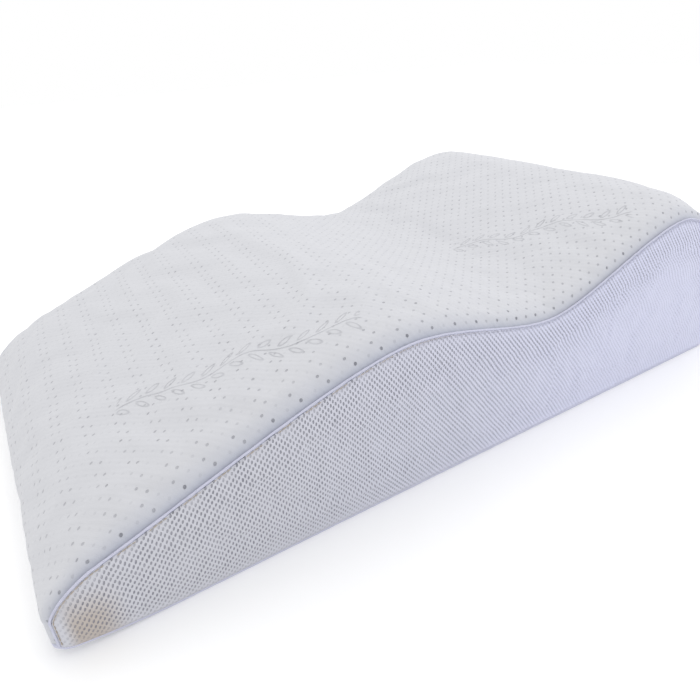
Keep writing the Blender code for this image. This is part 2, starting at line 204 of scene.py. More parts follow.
class Graph:
    """One material's node tree, with a Principled shader at its end."""

    def __init__(self, name: str) -> None:
        """Make the material and empty its tree but for the shader and the output."""
        self.material = bpy.data.materials.new(name)
        self.material.use_nodes = True
        self.tree = self.material.node_tree
        self.shader = self.tree.nodes["Principled BSDF"]

    def node(self, kind: str, settings: Mapping[str, object] | None = None,
             sockets: Mapping[str | int, object] | None = None) -> bpy.types.Node:
        """Add any node.

        Args:
            kind: The node's type without its ShaderNode prefix.
            settings: The node's properties, which are set first.
            sockets: Values or links by the socket's name or number.

        Returns:
            The new node.
        """
        made = self.tree.nodes.new("ShaderNode" + kind)
        for key, value in (settings or {}).items():
            setattr(made, key, value)
        for key, value in (sockets or {}).items():
            self.feed(made.inputs[key], value)
        return made

    def feed(self, socket: bpy.types.NodeSocket, value: object) -> None:
        """Link a socket or set its own value."""
        if isinstance(value, Value):
            self.tree.links.new(value.socket, socket)
        elif isinstance(value, bpy.types.NodeSocket):
            self.tree.links.new(value, socket)
        elif isinstance(value, (tuple, list)) and socket.type == "RGBA":
            socket.default_value = (*value, 1.0)
        else:
            socket.default_value = value

    def place(self) -> tuple[Value, Value, Value]:
        """The point's X, Y and Z in object coordinates."""
        return self.split(self.node("TexCoord").outputs["Object"])

    def cloth(self) -> tuple[Value, Value]:
        """Lengths along and across the cloth, from its own UV map, in metres."""
        return self.split(self.node("UVMap", {"uv_map": CLOTH_MAP}).outputs[0])[:2]

    def split(self, vector: bpy.types.NodeSocket) -> tuple[Value, Value, Value]:
        """The three parts of a vector."""
        parts = self.node("SeparateXYZ", None, {0: vector}).outputs
        return tuple(Value(self, part) for part in parts)

    def joined(self, x: "Value | float", y: "Value | float",
               z: "Value | float" = 0.0) -> bpy.types.NodeSocket:
        """A vector from its three parts."""
        return self.node("CombineXYZ", None, {0: x, 1: y, 2: z}).outputs[0]

    def attribute(self, name: str) -> Value:
        """A number that the piece stores at its points."""
        return Value(self, self.node("Attribute", {"attribute_name": name}).outputs["Fac"])

    def noise(self, vector: bpy.types.NodeSocket, scale: float, detail: float = 2.0) -> Value:
        """Smooth noise between 0 and 1.

        Args:
            vector: Where the noise is read, in metres.
            scale: Lumps to the metre.
            detail: Finer layers added.

        Returns:
            The noise value.
        """
        sockets = {"Vector": vector, "Scale": scale, "Detail": detail}
        return Value(self, self.node("TexNoise", None, sockets).outputs["Fac"])

    def blend(self, share: "Value | float", first: object, second: object) -> bpy.types.NodeSocket:
        """Mix two colours: the first where share is 0, the second where it is 1."""
        made = self.node("Mix", {"data_type": "RGBA"})
        for index, value in ((0, share), (6, first), (7, second)):
            self.feed(made.inputs[index], value)
        return made.outputs[2]

    def dots(self, u: Value, v: Value, pitch: tuple[float, float], start: tuple[float, float],
             half: tuple["Value | float", "Value | float"],
             way: tuple["Value | float", "Value | float"] = (1.0, 0.0)) -> Value:
        """Soft dots on a rectangular lattice.

        Args:
            u: Length along the cloth.
            v: Length across it.
            pitch: Distance from dot to dot along and across.
            start: Where the first dot's middle lies.
            half: Half the dot's length and width.
            way: The direction of the dot's length in u and v.

        Returns:
            1 in the middle of each dot, falling to 0 at its rim.
        """
        offsets = []
        for place, step, first in zip((u, v), pitch, start):
            offsets.append((((place - (first - step / 2)) / step).fraction() - 0.5) * step)
        length = offsets[0] * way[0] + offsets[1] * way[1]
        width = offsets[1] * way[0] - offsets[0] * way[1]
        away = (length / half[0]) ** 2.0 + (width / half[1]) ** 2.0
        return (1.0 - away).at_least(0.0)

    def spots(self, *lattice: object) -> Value:
        """Dots with a flat middle and a soft rim, on the lattice that dots() takes."""
        return (self.dots(*lattice) * SPOT_FILL).at_most(1.0)

    def bump(self, height: Value) -> bpy.types.NodeSocket:
        """A normal from a height in metres."""
        sockets = {"Strength": 1.0, "Distance": 1.0, "Height": height}
        return self.node("Bump", None, sockets).outputs[0]

    def finish(self, colour: object, roughness: object, normal: object = None,
               constants: Mapping[str, float] | None = None) -> bpy.types.Material:
        """Feed the shader.

        Args:
            colour: Base colour, as a colour or a link.
            roughness: Roughness, as a number or a link.
            normal: The normal's link, if the surface has relief.
            constants: Other sockets that are the same all over, by name.

        Returns:
            The finished material.
        """
        self.feed(self.shader.inputs["Base Color"], colour)
        self.feed(self.shader.inputs["Roughness"], roughness)
        if normal is not None:
            self.feed(self.shader.inputs["Normal"], normal)
        for key, value in (constants or {}).items():
            self.shader.inputs[key].default_value = value
        return self.material


CLOTH_MAP = "cloth"
RIM = "rim"
SPOT_FILL = 1.8
CLOTH_SHEEN = {"Sheen Weight": 0.1, "Sheen Roughness": 0.5}
KNIT_SHEEN = {"Sheen Weight": 0.12, "Sheen Roughness": 0.5}


def largest(values: Iterable[Value]) -> Value:
    """The largest of several values."""
    return functools.reduce(Value.at_least, values)


# ---- Finishes


@dataclass(frozen=True)
class TopKnit:
    """White double knit: pinholes in staggered columns, two strong and two faint in turn."""

    colour: tuple = (0.612, 0.617, 0.646)
    rib_shade: tuple = (0.48, 0.49, 0.53)
    # Painted shade: hole is the dark colour painted into each pinhole, where shade falls inside it.
    # The sprig's lines are drawn in the same dark colour.
    hole: tuple = (0.17, 0.175, 0.205)
    hole_shade_strength: float = 0.86
    hole_depth: float = 0.0005
    column: float = 0.00518
    row: float = 0.0100
    lean: float = 0.079
    dot_half: tuple = (0.00120, 0.00085)
    dimple_half: tuple = (0.0042, 0.0038)
    dimple_depth: float = 0.00022
    faint: float = 0.22
    crowded: tuple = (0.24, 0.50)
    # Painted shade: seam_shade is painted in a band where the top rolls down to each welt, and more
    # strongly in the crease right beside the welt.
    seam_shade: tuple = (0.33, 0.36, 0.46)
    seam_reach: float = 0.017
    seam_strength: float = 0.33
    fold_reach: float = 0.006
    fold_shade_strength: float = 0.35
    wale: float = 0.0013
    wale_depth: float = 0.00003
    rib: float = 0.0049
    rib_depth: float = 0.00005
    swell_depth: float = 0.0012
    sprigs: tuple = (((0.112, 0.092), (0.276, 0.026)), ((0.445, 0.132), (0.562, 0.026)))
    sprig_strength: float = 0.34
    sprig_depth: float = 0.0003
    sprig_fade: float = 0.004
    leaf_half: tuple = (0.0072, 0.0024)
    leaf_pitch: float = 0.0135
    leaf_out: float = 0.0060
    leaf_way: tuple = (0.80, 0.60)
    leaf_edge: float = 4.0
    stem_half: float = 0.00045
    stem_wave: tuple = (0.0035, 0.075)

    def sprig(self, graph: Graph, u: Value, v: Value, start: tuple[float, float],
              end: tuple[float, float]) -> Value:
        """A quilted leaf sprig: a waving stem with an outlined leaf on each side in turn.

        Args:
            graph: The material's graph.
            u: Length along the cloth.
            v: Length across it.
            start: The stem's foot.
            end: Its tip.

        Returns:
            1 on the sprig's lines, 0 elsewhere.
        """
        run = Vector(end) - Vector(start)
        way = run.normalized()
        along = (u - start[0]) * way.x + (v - start[1]) * way.y
        off = (v - start[1]) * way.x - (u - start[0]) * way.y
        height, wave = self.stem_wave
        off = off - along.wave(wave) * height
        lines = off.size().step(self.stem_half * 2, self.stem_half * 0.4)
        for side, shift in ((1, 0.0), (-1, 0.5)):
            first = (self.leaf_pitch * shift, side * self.leaf_out)
            leaf = graph.dots(along, off, (self.leaf_pitch, run.length), first, self.leaf_half,
                              (self.leaf_way[0], side * self.leaf_way[1]))
            lines = lines.at_least((leaf * (1.0 - leaf) * 4.0) ** self.leaf_edge)
        ends = along.step(0.0, self.sprig_fade)
        ends = ends * along.step(run.length, run.length - self.sprig_fade)
        return lines * ends * off.size().step(self.leaf_out * 2.2, self.leaf_out * 2)

    def make(self) -> bpy.types.Material:
        """Build the material."""
        graph = Graph("white_pinhole_knit")
        u, v = graph.cloth()
        here = graph.joined(u, v)
        crowd = u.step(*self.crowded)
        leaned = u - v * self.lean
        across = v * (1.0 - crowd * 0.12)
        patchy = graph.noise(here, 90.0, 1.0)
        strength = patchy * 1.5 - 0.1
        spots, wells = [], []
        for index in range(4):
            start = (self.column * index, self.row / 2 * (index % 2))
            pitch = (self.column * 4, self.row)
            weight = 1.0 if index < 2 else crowd * 0.5 + self.faint
            spots.append(graph.spots(leaned, across, pitch, start, self.dot_half) * weight)
            well = graph.dots(leaned, across, pitch, start, self.dimple_half)
            wells.append(well ** 2.0 * weight)
        quilted = largest(self.sprig(graph, u, v, *ends) for ends in self.sprigs)
        quilted = quilted * (patchy * 1.2 + 0.2).within_one()
        # Painted shade by the welts: a soft band over the seam reach and a stronger crease within
        # the fold reach. Noise makes the band blotchy, and the band weakens towards the tall end.
        rim = v.at_most(WIDTH - v)
        near_seam = rim.step(self.seam_reach, 0.001)
        fold_shade_mask = rim.step(self.fold_reach, 0.001)
        # The pinholes' painted shade is patchy and grows in the shade band by the seams.
        holes = largest(spots) * strength.within_one() * (near_seam * 0.7 + 0.60)
        holes = holes.within_one()
        fine = u.wave(self.wale) * v.wave(self.wale)
        ribs = (u + v).wave(self.rib)
        broad = graph.noise(here, 14.0, 2.0)
        height = (sum(wells[1:], wells[0]) * -self.dimple_depth + holes * -self.hole_depth
                  + fine * self.wale_depth + ribs * self.rib_depth + broad * self.swell_depth
                  + quilted * -self.sprig_depth)
        blotched = graph.noise(here, 60.0, 2.0) * 0.6 + 0.7
        shade = near_seam * blotched * self.seam_strength * (1.0 - crowd * 0.4)
        shade = (shade + fold_shade_mask * self.fold_shade_strength).within_one()
        tinted = graph.blend(shade, self.colour, self.seam_shade)
        ribbed = graph.blend((ribs * 0.012 + fine * 0.02 + broad * 0.05).within_one(), tinted,
                             self.rib_shade)
        # Painted shade in the pinholes. The sprig's lines take the same dark colour.
        marks = (holes * self.hole_shade_strength).at_least(quilted * self.sprig_strength)
        colour = graph.blend(marks, ribbed, self.hole)
        return graph.finish(colour, 0.92, graph.bump(height), KNIT_SHEEN)


@dataclass(frozen=True)
class SpacerMesh:
    """Pale spacer mesh with slanted holes in a staggered lattice."""

    # Painted light and shade: plain and cool are shaded and lit copies of the mesh's pale colour.
    # Plain, darker and greyer, is painted shade at the thin end; cool, lighter and bluer, is
    # painted light towards the tall end.
    cool: tuple = (0.612, 0.625, 0.772)
    plain: tuple = (0.572, 0.576, 0.626)
    # Painted shadow: a tan shadow painted where the mesh folds round the nose.
    nose_fold_shadow: tuple = (0.45, 0.385, 0.33)
    # Painted shade: hole is the dark colour painted into the mesh's holes, where shade falls inside
    # them.
    hole: tuple = (0.20, 0.205, 0.25)
    hole_shade_strength: float = 0.80
    hole_depth: float = 0.0009
    pitch: tuple = (0.00367, 0.0046)
    hole_long: tuple = (0.00130, 0.00142)
    hole_wide: tuple = (0.00062, 0.00068)
    hole_way: tuple = ((0.375, 0.927), (-0.656, 0.755))
    turning: tuple = (-0.36, 0.20)
    painted_light_span: tuple = (-0.25, 0.16)
    # nose_fold and the fold strength place and weigh the painted fold shadow.
    nose_fold: tuple = ((-0.270, -0.292), (-0.308, -0.300), (0.050, 0.022))
    fold_shade_strength: float = 0.80
    strand_depth: float = 0.00012
    lump_depth: float = 0.0008

    def make(self) -> bpy.types.Material:
        """Build the material."""
        graph = Graph("pale_spacer_mesh")
        x, y, z = graph.place()
        rim = graph.attribute(RIM)
        wide, tall = self.pitch
        # right is the share of painted light, which grows along X towards the tall end.
        right, turned = x.step(*self.painted_light_span), x.step(*self.turning)
        way = tuple(self.between(turned, *ends) for ends in zip(*self.hole_way))
        reach = (way[0] ** 2.0 + way[1] ** 2.0) ** 0.5
        sizes = (self.hole_long, self.hole_wide)
        half = tuple(self.between(turned, *ends) * reach for ends in sizes)
        holes = largest(
            graph.spots(x, z, self.pitch, (wide * share, tall * share), half, way)
            for share in (0.0, 0.5))
        here = graph.joined(x, y, z)
        # The holes' painted shade varies at random and weakens at the seams. It also weakens
        # towards the tall end, except near the upper seam, and is halved at the nose tip.
        uneven_hole_shade = graph.noise(here, 120.0, 1.0)
        inside = rim.step(0.0, 0.010) * 0.7 + 0.3
        by_seam = rim.step(0.050, 0.012) * z.step(0.03, 0.07)
        nose_tip_fade = x.step(-0.308, -0.294) * 0.5 + 0.5
        plainer = 1.0 - right * right * (0.70 - by_seam * 0.42)
        holes = holes * (uneven_hole_shade * 0.7 + 0.55).at_most(1.0) * inside * plainer * nose_tip_fade
        strand = x.wave(wide) * z.wave(tall)
        # Painted shadow in the mesh's fold at the nose.
        far_rim, near_rim, top_rim = self.nose_fold
        fold_shade_mask = x.step(*far_rim) * x.step(*near_rim) * z.step(*top_rim)
        # Painted shade at the thin end gives way to painted light towards the tall end.
        body = graph.blend(right, self.plain, self.cool)
        body = graph.blend(fold_shade_mask * self.fold_shade_strength, body, self.nose_fold_shadow)
        # Painted shade in the holes.
        colour = graph.blend(holes * self.hole_shade_strength, body, self.hole)
        height = (holes * -self.hole_depth + strand * self.strand_depth
                  + graph.noise(here, 20.0, 1.0) * self.lump_depth)
        return graph.finish(colour, 0.85, graph.bump(height), CLOTH_SHEEN)

    @staticmethod
    def between(share: Value, first: float, second: float) -> Value:
        """A number that goes from the first to the second as the share goes from 0 to 1."""
        return share * (second - first) + first


@dataclass(frozen=True)
class Weave:
    """A plain woven or knitted cloth with crossing yarns, read along the cloth."""

    name: str
    colour: tuple
    shade: tuple
    yarn: float = 0.0008
    relief: float = 0.00006
    roughness: float = 0.88
    diagonal: bool = False

    def make(self) -> bpy.types.Material:
        """Build the material."""
        graph = Graph(self.name)
        u, v = graph.cloth()
        first, second = (u + v, u - v) if self.diagonal else (u, v)
        yarns = first.wave(self.yarn) * second.wave(self.yarn)
        cloudy = graph.noise(graph.joined(u, v), 40.0, 2.0)
        share = (yarns * 0.22 + 0.22 + (cloudy - 0.5) * 0.3).within_one()
        colour = graph.blend(share, self.colour, self.shade)
        height = yarns * self.relief + cloudy * 0.0004
        rough = (cloudy * 0.08 + (self.roughness - 0.04)).within_one()
        return graph.finish(colour, rough, graph.bump(height), CLOTH_SHEEN)


@dataclass(frozen=True)
class TwistedCord:
    """A corded edging or a thread: slanted strands, and a tall-end colour if one is given."""

    name: str
    colour: tuple
    shade: tuple
    far: tuple | None = None
    fading: tuple = (-0.16, 0.04)
    strand: float = 0.0011
    relief: float = 0.00012

    def make(self) -> bpy.types.Material:
        """Build the material."""
        graph = Graph(self.name)
        u, v = graph.cloth()
        strands = (u + v * 0.6).wave(self.strand)
        fuzz = graph.noise(graph.joined(u, v), 420.0, 2.0)
        share = (strands * 0.16 + 0.2 + (fuzz - 0.5) * 0.5).within_one()
        colour = graph.blend(share, self.colour, self.shade)
        if self.far:
            colour = graph.blend(graph.place()[0].step(*self.fading), colour, self.far)
        height = strands * self.relief + fuzz * (self.relief * 1.5)
        return graph.finish(colour, 0.85, graph.bump(height), CLOTH_SHEEN)


@dataclass(frozen=True)
class OpenCellFoam:
    """Cream memory foam with fine open pores."""

    colour: tuple = (0.86, 0.82, 0.70)
    # pore: painted shade inside the open cells. The broad noise also mixes it in at random as
    # uneven tone.
    pore: tuple = (0.55, 0.50, 0.38)

    def make(self) -> bpy.types.Material:
        """Build the material."""
        graph = Graph("cream_foam")
        here = graph.joined(*graph.place())
        cells = graph.node("TexVoronoi", {"feature": "F1"}, {"Vector": here, "Scale": 900.0})
        # Painted shade in the pores, plus uneven tone from the broad noise.
        pores = Value(graph, cells.outputs["Distance"]).step(0.45, 0.1)
        broad = graph.noise(here, 30.0, 2.0)
        colour = graph.blend((pores * 0.5 + broad * 0.15).within_one(), self.colour, self.pore)
        return graph.finish(colour, 0.95, graph.bump(pores * -0.0002))


@dataclass(frozen=True)
class NylonCoil:
    """White nylon of the zip's coils and stops."""

    colour: tuple = (0.74, 0.75, 0.78)
    shade: tuple = (0.58, 0.59, 0.64)

    def make(self) -> bpy.types.Material:
        """Build the material."""
        graph = Graph("white_nylon")
        mottled = graph.noise(graph.joined(*graph.place()), 700.0, 2.0)
        colour = graph.blend(mottled * 0.5, self.colour, self.shade)
        rough = mottled * 0.15 + 0.33
        return graph.finish(colour, rough, graph.bump(mottled * 0.00004))


@dataclass(frozen=True)
class SatinNickel:
    """Satin-plated zinc of the slider and its pull tab, brushed along X."""

    colour: tuple = (0.62, 0.62, 0.64)
    worn: tuple = (0.44, 0.43, 0.42)

    def make(self) -> bpy.types.Material:
        """Build the material."""
        graph = Graph("satin_nickel")
        x, y, z = graph.place()
        brushed = graph.noise(graph.joined(x * 0.06, y, z), 4200.0, 2.0)
        scuffed = graph.noise(graph.joined(x, y, z), 260.0, 3.0)
        colour = graph.blend((brushed - 0.35).within_one(), self.colour, self.worn)
        rough = brushed * 0.2 + scuffed * 0.15 + 0.12
        return graph.finish(colour, rough, graph.bump(brushed * 0.00002), {"Metallic": 1.0})


@dataclass(frozen=True)
class Floor:
    """Plain pale studio floor."""

    colour: tuple = (0.93, 0.93, 0.93)
    shade: tuple = (0.92, 0.92, 0.92)
    glow: float = 0.11

    def make(self) -> bpy.types.Material:
        """Build the material."""
        graph = Graph("pale_floor")
        soft = graph.noise(graph.joined(*graph.place()), 3.0, 2.0)
        return graph.finish(graph.blend(soft, self.colour, self.shade), 0.9,
                            constants={"Specular IOR Level": 0.1, "Emission Strength": self.glow})


FINISHES = {
    Slot.FOAM: OpenCellFoam(),
    Slot.JERSEY: Weave("liner_jersey", (0.84, 0.84, 0.84), (0.66, 0.66, 0.68), yarn=0.0011),
    Slot.KNIT: TopKnit(),
    Slot.BASE: Weave("base_cloth", (0.66, 0.67, 0.72), (0.50, 0.51, 0.57), yarn=0.0014,
                     relief=0.0001),
    Slot.MESH: SpacerMesh(),
    Slot.BINDING: TwistedCord("lavender_binding", (0.65, 0.66, 0.79), (0.48, 0.49, 0.62)),
    Slot.THREAD: TwistedCord("tan_thread", (0.50, 0.43, 0.36), (0.36, 0.30, 0.25),
                             far=(0.55, 0.56, 0.67), strand=0.0004, relief=0.00004),
    Slot.TAPE: Weave("zip_tape", (0.74, 0.75, 0.78), (0.58, 0.59, 0.64), yarn=0.0009,
                     diagonal=True),
    Slot.COIL: NylonCoil(),
    Slot.METAL: SatinNickel(),
    Slot.LABEL: Weave("satin_label", (0.82, 0.82, 0.82), (0.70, 0.70, 0.72), yarn=0.0006,
                      relief=0.00002, roughness=0.6),
}


class Wardrobe:
    """The made materials, one for each slot."""

    made: dict[Slot, bpy.types.Material] = {}

    @classmethod
    def get(cls, slot: Slot) -> bpy.types.Material:
        """The slot's material, made the first time that it is asked for."""
        if slot not in cls.made:
            cls.made[slot] = FINISHES[slot].make()
        return cls.made[slot]


# ---- Shape of the pillow


class Track:
    """A line of points that is read by the distance along it."""

    def __init__(self, points: Sequence[Vector]) -> None:
        """Measure the line."""
        self.points = list(points)
        self.marks = [0.0]
        for here, after in zip(self.points, self.points[1:]):
            self.marks.append(self.marks[-1] + (after - here).length)

    @property
    def length(self) -> float:
        """The whole length."""
        return self.marks[-1]

    def at(self, distance: float) -> Vector:
        """The point at a distance from the start."""
        held = min(max(distance, 0.0), self.length)
        index = min(bisect.bisect_right(self.marks, held), len(self.marks) - 1)
        before, after = self.marks[index - 1], self.marks[index]
        share = (held - before) / max(after - before, 1e-9)
        return self.points[index - 1].lerp(self.points[index], share)

    def way(self, distance: float, reach: float = 0.0008) -> Vector:
        """The direction of travel at a distance from the start."""
        ahead = self.at(distance + reach)
        behind = self.at(distance - reach)
        return (ahead - behind).normalized()


@dataclass(frozen=True)
class PillowShape:
    """The upper seam's curve in the XZ plane, the crown across the width and how corners settle."""

    nose_height: float = 0.027
    nose_run: float = 0.032
    nose_rise: float = 0.0285
    ramp_slope: float = 0.34
    low_crest: float = 0.1238
    valley: float = 0.102
    high_crest: float = 0.1495
    low_crest_to_valley: float = 0.128
    valley_to_high_crest: float = 0.161
    high_crest_to_end: float = 0.089
    shoulder_drop: float = 0.085
    crown: float = 0.019
    edge_power: float = 8.0
    corner_radius: float = 0.012
    lift: float = 0.0075
    lift_reach: float = 0.075
    lift_height: float = 0.030
    climb_run: float = 0.075
    curve_steps: int = 48

    def seam(self, inset: float = 0.0, foot: float = FOOT) -> Track:
        """The seam line, moved inwards, with a foot below each end.

        Args:
            inset: How far the line moves inwards.
            foot: Height at which both ends stop.

        Returns:
            The line from the thin end's foot over the top to the tall end's foot.
        """
        crest_x = TALL_END - self.high_crest_to_end
        valley_x = crest_x - self.valley_to_high_crest
        low_x = valley_x - self.low_crest_to_valley
        ramp_way = Vector((1, 0, self.ramp_slope)).normalized()
        nose = Vector((THIN_END, 0, self.nose_height))
        ramp = Vector((THIN_END + self.nose_run, 0, self.nose_height + self.nose_rise))
        low = Vector((low_x, 0, self.low_crest))
        dip = Vector((valley_x, 0, self.valley))
        high = Vector((crest_x, 0, self.high_crest))
        shoulder = Vector((TALL_END, 0, self.high_crest - self.shoulder_drop))
        stretches = (
            (nose, UP, self.nose_run * 0.31, ramp, ramp_way, self.nose_run * 0.31),
            (ramp, ramp_way, (low_x - ramp.x) * 0.33, low, ALONG, (low_x - ramp.x) * 0.24),
            (low, ALONG, (valley_x - low_x) * 0.31, dip, ALONG, (valley_x - low_x) * 0.30),
            (dip, ALONG, (crest_x - valley_x) * 0.26, high, ALONG, (crest_x - valley_x) * 0.28),
            (high, ALONG, self.high_crest_to_end * 0.30, shoulder, -UP, self.shoulder_drop * 0.60),
        )
        line = [Vector((THIN_END, 0, foot))]
        for start, leaving, hold, end, meeting, ease in stretches:
            line += interpolate_bezier(start, start + leaving * hold, end - meeting * ease, end,
                                       self.curve_steps)[:-1]
        line += [shoulder, Vector((TALL_END, 0, foot))]
        return Track(self.moved_in(line, inset))

    @staticmethod
    def moved_in(line: Sequence[Vector], inset: float) -> list[Vector]:
        """Each point of a line moved square to it, towards the inside."""
        moved = []
        last = len(line) - 1
        for index, point in enumerate(line):
            way = (line[min(index + 1, last)] - line[max(index - 1, 0)]).normalized()
            moved.append(point + Vector((way.z, 0, -way.x)) * inset)
        return moved

    def rise(self, y: float) -> float:
        """How far the top stands above the seam line at y."""
        share = min(abs(2 * y - FRONT_FACE - REAR_FACE) / WIDTH, 1.0)
        return self.crown * (1 - share ** self.edge_power)

    def climb(self, height: float, distance: float) -> float:
        """How much of the crown a point of the wrap has.

        Args:
            height: The point's height on the seam line.
            distance: How far along the line it lies from the thin end's foot.

        Returns:
            A share from 0 at the foot to 1 on the top.
        """
        start = self.nose_height - FOOT
        share = min(max((distance - start) / self.climb_run, 0.0), 1.0)
        upper = min(max((height - FOOT) / start, 0.0), 1.0)
        return share * share * (3 - 2 * share) * upper

    def settled(self, point: Vector) -> Vector:
        """Where a point of the cover comes to rest: upright corners rounded, one toe lifted.

        Args:
            point: A point of the square-cornered shape.

        Returns:
            The settled point.
        """
        radius = self.corner_radius
        half_x, half_y = (TALL_END - THIN_END) / 2, WIDTH / 2
        middle = Vector(((TALL_END + THIN_END) / 2, (FRONT_FACE + REAR_FACE) / 2, 0))
        x, y = point.x - middle.x, point.y - middle.y
        past_x = (abs(x) - half_x + radius) / radius
        past_y = (abs(y) - half_y + radius) / radius
        if past_x > 0 and past_y > 0:
            round_x = past_x * math.sqrt(max(1 - past_y * past_y / 2, 0.0))
            round_y = past_y * math.sqrt(max(1 - past_x * past_x / 2, 0.0))
            x = math.copysign(half_x - radius + radius * round_x, x)
            y = math.copysign(half_y - radius + radius * round_y, y)
        away = math.hypot(point.x - THIN_END, (point.y - FRONT_FACE) * 1.4)
        near = max(1 - away / self.lift_reach, 0.0)
        low = max(1 - point.z / self.lift_height, 0.0)
        return Vector((x + middle.x, y + middle.y, point.z + self.lift * near * near * low))


SHAPE = PillowShape()


# ---- Mesh helpers


SAME_POINT = 1e-6
CORD_SIDES = 10


def map_cloth(bm: bmesh.types.BMesh, rule: Callable[[Vector, Vector], tuple[float, float]]) -> None:
    """Set the cloth coordinates of every face corner.

    Args:
        bm: The mesh data.
        rule: Gives the new coordinates for a corner's point and its present coordinates.
    """
    layer = bm.loops.layers.uv.get(CLOTH_MAP) or bm.loops.layers.uv.new(CLOTH_MAP)
    for face in bm.faces:
        for loop in face.loops:
            loop[layer].uv = rule(loop.vert.co, loop[layer].uv)


def mapped_grid(columns: int, rows: int, spans: tuple[float, float],
                place: Callable[[float, float], Vector]) -> bmesh.types.BMesh:
    """A grid moved onto a surface, with a UV map in metres.

    Args:
        columns: Faces in the first direction.
        rows: Faces in the second direction.
        spans: Length of the cloth in the two directions.
        place: Gives the point for two shares from 0 to 1.

    Returns:
        The new mesh data.
    """
    bm = bmesh.new()
    bmesh.ops.create_grid(bm, x_segments=columns, y_segments=rows, size=0.5)
    map_cloth(bm, lambda spot, _: ((spot.x + 0.5) * spans[0], (spot.y + 0.5) * spans[1]))
    for vert in bm.verts:
        vert.co = place(vert.co.x + 0.5, vert.co.y + 0.5)
    return bm


def welded(bm: bmesh.types.BMesh, closed: bool = True) -> bmesh.types.BMesh:
    """Join points that lie together, close the open ends if asked and turn faces outwards."""
    bmesh.ops.remove_doubles(bm, verts=bm.verts, dist=SAME_POINT)
    rims = [edge for edge in bm.edges if edge.is_boundary]
    if rims and closed:
        bmesh.ops.holes_fill(bm, edges=rims, sides=0)
    bmesh.ops.recalc_face_normals(bm, faces=bm.faces)
    return bm


def tube(path: Track, radius: Callable[[float, float], float], across: Vector,
         pitch: float) -> bmesh.types.BMesh:
    """A round cord along a line that lies in one plane.

    Args:
        path: The middle line, closed where its ends meet.
        radius: Gives the radius for a distance along and an angle around.
        across: The direction square to the line's plane.
        pitch: Length of one face along the cord.

    Returns:
        The new mesh data.
    """
    thick = radius(0.0, 0.0)

    def place(share: float, turn: float) -> Vector:
        """The point for a share of the length and of a turn."""
        distance = share * path.length
        angle = 2 * math.pi * turn
        side = path.way(distance).cross(across).normalized()
        reach = radius(distance, angle)
        return path.at(distance) + (side * math.cos(angle) + across * math.sin(angle)) * reach

    steps = max(round(path.length / pitch), 3)
    return welded(mapped_grid(steps, CORD_SIDES, (path.length, 2 * math.pi * thick), place))


def outward(bm: bmesh.types.BMesh, way: Vector) -> bmesh.types.BMesh:
    """Turn an open sheet's faces to the side that a direction points to."""
    total = Vector()
    for face in bm.faces:
        total += face.normal * face.calc_area()
    if total.dot(way) < 0:
        bmesh.ops.reverse_faces(bm, faces=bm.faces)
    return bm


def piece(name: str, bm: bmesh.types.BMesh, slot: Slot, node: str,
          body: Body = Body.PILLOW) -> bpy.types.Object:
    """Turn mesh data into a dressed piece that rides on a body.

    Args:
        name: The piece's name.
        bm: Its mesh data, which is freed.
        slot: The material slot that it is dressed from.
        node: The frame's node that it replaces.
        body: The body that it rides on.

    Returns:
        The new object.
    """
    mesh = bpy.data.meshes.new(name)
    bm.normal_update()
    bm.to_mesh(mesh)
    bm.free()
    mesh.shade_smooth()
    mesh.materials.append(Wardrobe.get(slot))
    made = bpy.data.objects.new(name, mesh)
    bpy.context.scene.collection.objects.link(made)
    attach(made, body.value)
    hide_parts(node)
    LOG.info("%s: %d faces", name, len(mesh.polygons))
    return made


def thickened(made: bpy.types.Object, thickness: float) -> None:
    """Give a sheet its thickness, behind its outer face."""
    step = made.modifiers.new("thickness", "SOLIDIFY")
    step.thickness = thickness
    step.offset = -1.0


def subdivided(made: bpy.types.Object) -> None:
    """Round a piece with one level of subdivision surface."""
    step = made.modifiers.new("rounding", "SUBSURF")
    step.levels = 1
    step.render_levels = 1


